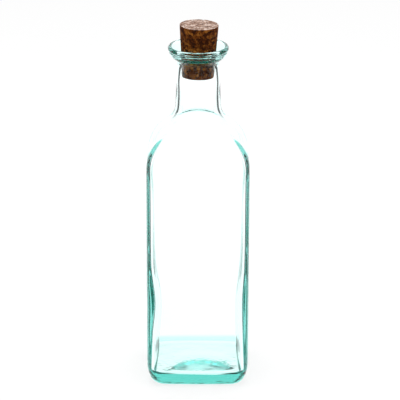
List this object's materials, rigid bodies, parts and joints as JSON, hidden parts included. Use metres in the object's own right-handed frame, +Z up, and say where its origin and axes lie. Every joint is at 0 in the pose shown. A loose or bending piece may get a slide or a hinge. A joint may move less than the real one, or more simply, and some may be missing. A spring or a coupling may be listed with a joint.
{
  "type": "bottle",
  "caption": "Square glass bottle with rounded shoulders, a round neck and a flared lip, closed by a tapered cork stopper that pulls out.",
  "frame": {"origin": "centre of the square base, on the surface that the bottle stands on", "axes": "+Z up along the bottle's axis, X and Y square to the flat faces of its body, -Y is the side that the picture shows"},
  "size_m": [0.07, 0.07, 0.2509],
  "materials": {
    "bottle_glass": "clear glass with a pale aqua-green tint that deepens where the glass is thick, glossy",
    "cork": "pressed cork granules, matt, brown with dark specks and a paler cut top"
  },
  "bodies": {
    "bottle": {"glass_bottle": "bottle_glass"},
    "cork": {"cork_stopper": "cork"}
  },
  "joints": [
    {"name": "cork_pull", "type": "slide", "parent": "bottle", "child": "cork", "axis": [0, 0, 1], "range_m": [0, 0.05]}
  ]
}
